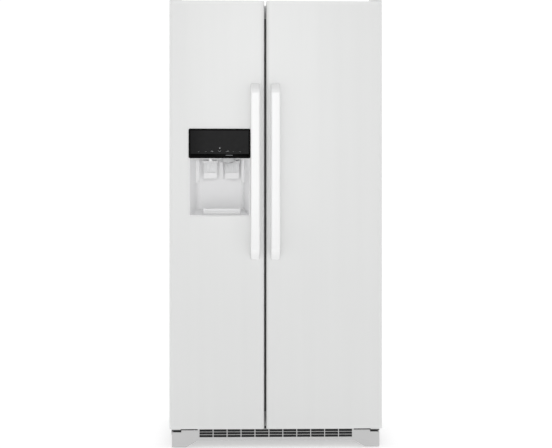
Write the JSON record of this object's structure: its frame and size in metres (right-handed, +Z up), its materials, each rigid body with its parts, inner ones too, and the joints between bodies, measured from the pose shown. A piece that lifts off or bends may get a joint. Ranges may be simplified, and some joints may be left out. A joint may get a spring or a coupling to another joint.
{
  "type": "side by side refrigerator",
  "caption": "White side by side refrigerator with a freezer door and a wider fridge door, bar handles, and an ice and water dispenser with a black control panel.",
  "frame": {"origin": "on the floor under the middle of the whole appliance, handles and rear water fitting included", "axes": "+X to the right seen from the front, +Y to the rear, +Z up; the doors face -Y"},
  "size_m": [0.838, 0.886, 1.778],
  "materials": {
    "white_paint": "gloss",
    "white_plastic": "satin",
    "liner_plastic": "satin",
    "grey_plastic": "satin",
    "pale_plastic": "satin",
    "dark_plastic": "matte",
    "black_gloss": "gloss",
    "clear_plastic": "gloss",
    "shelf_glass": "gloss",
    "gasket_rubber": "matte",
    "dark_rubber": "matte",
    "galvanised_steel": "satin",
    "bright_steel": "satin",
    "black_paint": "satin",
    "fin_aluminium": "satin",
    "valve_brass": "satin",
    "white_wire": "gloss",
    "foam": "matte"
  },
  "bodies": {
    "cabinet": {"cabinet_wrapper": "white_paint", "back_panel": "galvanised_steel", "base_frame": "black_paint", "insulation": "foam", "freezer_liner": "liner_plastic", "fridge_liner": "liner_plastic", "mullion_strip": "white_paint", "evaporator_cover": "liner_plastic", "evaporator_coil": "fin_aluminium", "ceiling_housing": "liner_plastic", "glass_shelves": "shelf_glass", "shelf_rails": "liner_plastic", "wire_shelves": "white_wire", "ice_maker": "grey_plastic", "door_hinges": "bright_steel", "hinge_covers": "white_plastic", "kick_plate": "pale_plastic", "compressor": "black_paint", "condenser": "black_paint", "rear_cover": "galvanised_steel", "drain_pan": "dark_plastic", "inlet_valve": "valve_brass", "cord_inlet": "dark_rubber"},
    "freezer_door": {"freezer_door_panel": "white_paint", "freezer_door_foam": "foam", "freezer_door_liner": "liner_plastic", "freezer_door_gasket": "gasket_rubber", "freezer_door_caps": "white_plastic", "freezer_handle": "white_plastic", "freezer_door_bins": "clear_plastic", "dispenser_housing": "pale_plastic", "control_panel": "black_gloss", "ice_chute": "pale_plastic", "water_nozzle": "pale_plastic"},
    "fridge_door": {"fridge_door_panel": "white_paint", "fridge_door_foam": "foam", "fridge_door_liner": "liner_plastic", "fridge_door_gasket": "gasket_rubber", "fridge_door_caps": "white_plastic", "fridge_handle": "white_plastic", "fridge_door_bins": "clear_plastic", "dairy_box": "clear_plastic"},
    "drip_tray": {"drip_tray": "pale_plastic"},
    "ice_paddle": {"ice_paddle": "pale_plastic"},
    "water_paddle": {"water_paddle": "pale_plastic"},
    "chute_flap": {"chute_flap": "pale_plastic"},
    "dairy_lid": {"dairy_lid": "clear_plastic"},
    "front_rollers": {"front_rollers": "dark_plastic"},
    "rear_rollers": {"rear_rollers": "dark_plastic"},
    "foot_left": {"foot_left": "dark_plastic"},
    "foot_right": {"foot_right": "dark_plastic"},
    "condenser_fan": {"condenser_fan": "dark_plastic"},
    "evaporator_fan": {"evaporator_fan": "dark_plastic"},
    "crisper_upper": {"crisper_upper": "clear_plastic"},
    "crisper_lower": {"crisper_lower": "clear_plastic"},
    "freezer_basket": {"freezer_basket": "white_plastic"},
    "ice_bucket": {"ice_bucket": "clear_plastic"},
    "auger": {"auger": "bright_steel"},
    "bail_arm": {"bail_arm": "bright_steel"},
    "water_filter": {"water_filter": "white_plastic"}
  },
  "joints": [
    {"name": "door_freezer_hinge", "type": "hinge", "parent": "cabinet", "child": "freezer_door", "pos_m": [-0.399, -0.342, 0.9], "axis": [0, 0, -1], "range_deg": [0, 120]},
    {"name": "door_fridge_hinge", "type": "hinge", "parent": "cabinet", "child": "fridge_door", "pos_m": [0.399, -0.342, 0.9], "axis": [0, 0, 1], "range_deg": [0, 120]},
    {"name": "dispenser_ice_paddle", "type": "hinge", "parent": "freezer_door", "child": "ice_paddle", "pos_m": [-0.173, -0.304, 1.129], "axis": [1, 0, 0], "range_deg": [0, 9], "stiffness_Nm_per_rad": 0.6, "springref_deg": -17.19},
    {"name": "dispenser_water_paddle", "type": "hinge", "parent": "freezer_door", "child": "water_paddle", "pos_m": [-0.26, -0.304, 1.129], "axis": [1, 0, 0], "range_deg": [0, 9], "stiffness_Nm_per_rad": 0.6, "springref_deg": -17.19},
    {"name": "dispenser_flap", "type": "hinge", "parent": "freezer_door", "child": "chute_flap", "pos_m": [-0.19, -0.258, 1.196], "axis": [-1, 0, 0], "range_deg": [0, 40]},
    {"name": "dispenser_tray", "type": "slide", "parent": "freezer_door", "child": "drip_tray", "axis": [0, -1, 0], "range_m": [0, 0.07]},
    {"name": "drawer_crisper_lower", "type": "slide", "parent": "cabinet", "child": "crisper_lower", "axis": [0, -1, 0], "range_m": [0, 0.17]},
    {"name": "drawer_crisper_upper", "type": "slide", "parent": "cabinet", "child": "crisper_upper", "axis": [0, -1, 0], "range_m": [0, 0.17]},
    {"name": "drawer_freezer_basket", "type": "slide", "parent": "cabinet", "child": "freezer_basket", "axis": [0, -1, 0], "range_m": [0, 0.17]},
    {"name": "drawer_ice_bucket", "type": "slide", "parent": "cabinet", "child": "ice_bucket", "axis": [0, -1, 0], "range_m": [0, 0.17]},
    {"name": "fridge_dairy_lid", "type": "hinge", "parent": "fridge_door", "child": "dairy_lid", "pos_m": [0.179, -0.222, 1.618], "axis": [1, 0, 0], "range_deg": [0, 80]},
    {"name": "ice_auger", "type": "hinge", "parent": "ice_bucket", "child": "auger", "pos_m": [-0.223, 0, 1.321], "axis": [0, 1, 0], "continuous": true},
    {"name": "ice_bail_arm", "type": "hinge", "parent": "cabinet", "child": "bail_arm", "pos_m": [-0.14, 0.048, 1.56], "axis": [1, 0, 0], "range_deg": [0, 40]},
    {"name": "leg_left", "type": "slide", "parent": "cabinet", "child": "foot_left", "axis": [0, 0, -1], "range_m": [-0.008, 0.012]},
    {"name": "leg_right", "type": "slide", "parent": "cabinet", "child": "foot_right", "axis": [0, 0, -1], "range_m": [-0.008, 0.012]},
    {"name": "machine_condenser_fan", "type": "hinge", "parent": "cabinet", "child": "condenser_fan", "pos_m": [-0.126, 0.32, 0.17], "axis": [1, 0, 0], "continuous": true},
    {"name": "machine_evaporator_fan", "type": "hinge", "parent": "cabinet", "child": "evaporator_fan", "pos_m": [-0.223, 0.274, 1.12], "axis": [0, 1, 0], "continuous": true},
    {"name": "roller_front", "type": "hinge", "parent": "cabinet", "child": "front_rollers", "pos_m": [0, -0.23, 0.021], "axis": [1, 0, 0], "continuous": true},
    {"name": "roller_rear", "type": "hinge", "parent": "cabinet", "child": "rear_rollers", "pos_m": [0, 0.378, 0.022], "axis": [1, 0, 0], "continuous": true},
    {"name": "water_filter_turn", "type": "hinge", "parent": "cabinet", "child": "water_filter", "pos_m": [0.318, 0.06, 1.652], "axis": [0, 1, 0], "range_deg": [0, 90]}
  ],
  "couplings": [
    {"joint": "drawer_crisper_lower", "follows": "door_fridge_hinge", "m_per_rad": 0.08116},
    {"joint": "drawer_crisper_upper", "follows": "door_fridge_hinge", "m_per_rad": 0.08116},
    {"joint": "drawer_freezer_basket", "follows": "door_freezer_hinge", "m_per_rad": 0.08116},
    {"joint": "drawer_ice_bucket", "follows": "door_freezer_hinge", "m_per_rad": 0.08116},
    {"joint": "dispenser_flap", "follows": "dispenser_ice_paddle", "ratio": 4.4}
  ]
}
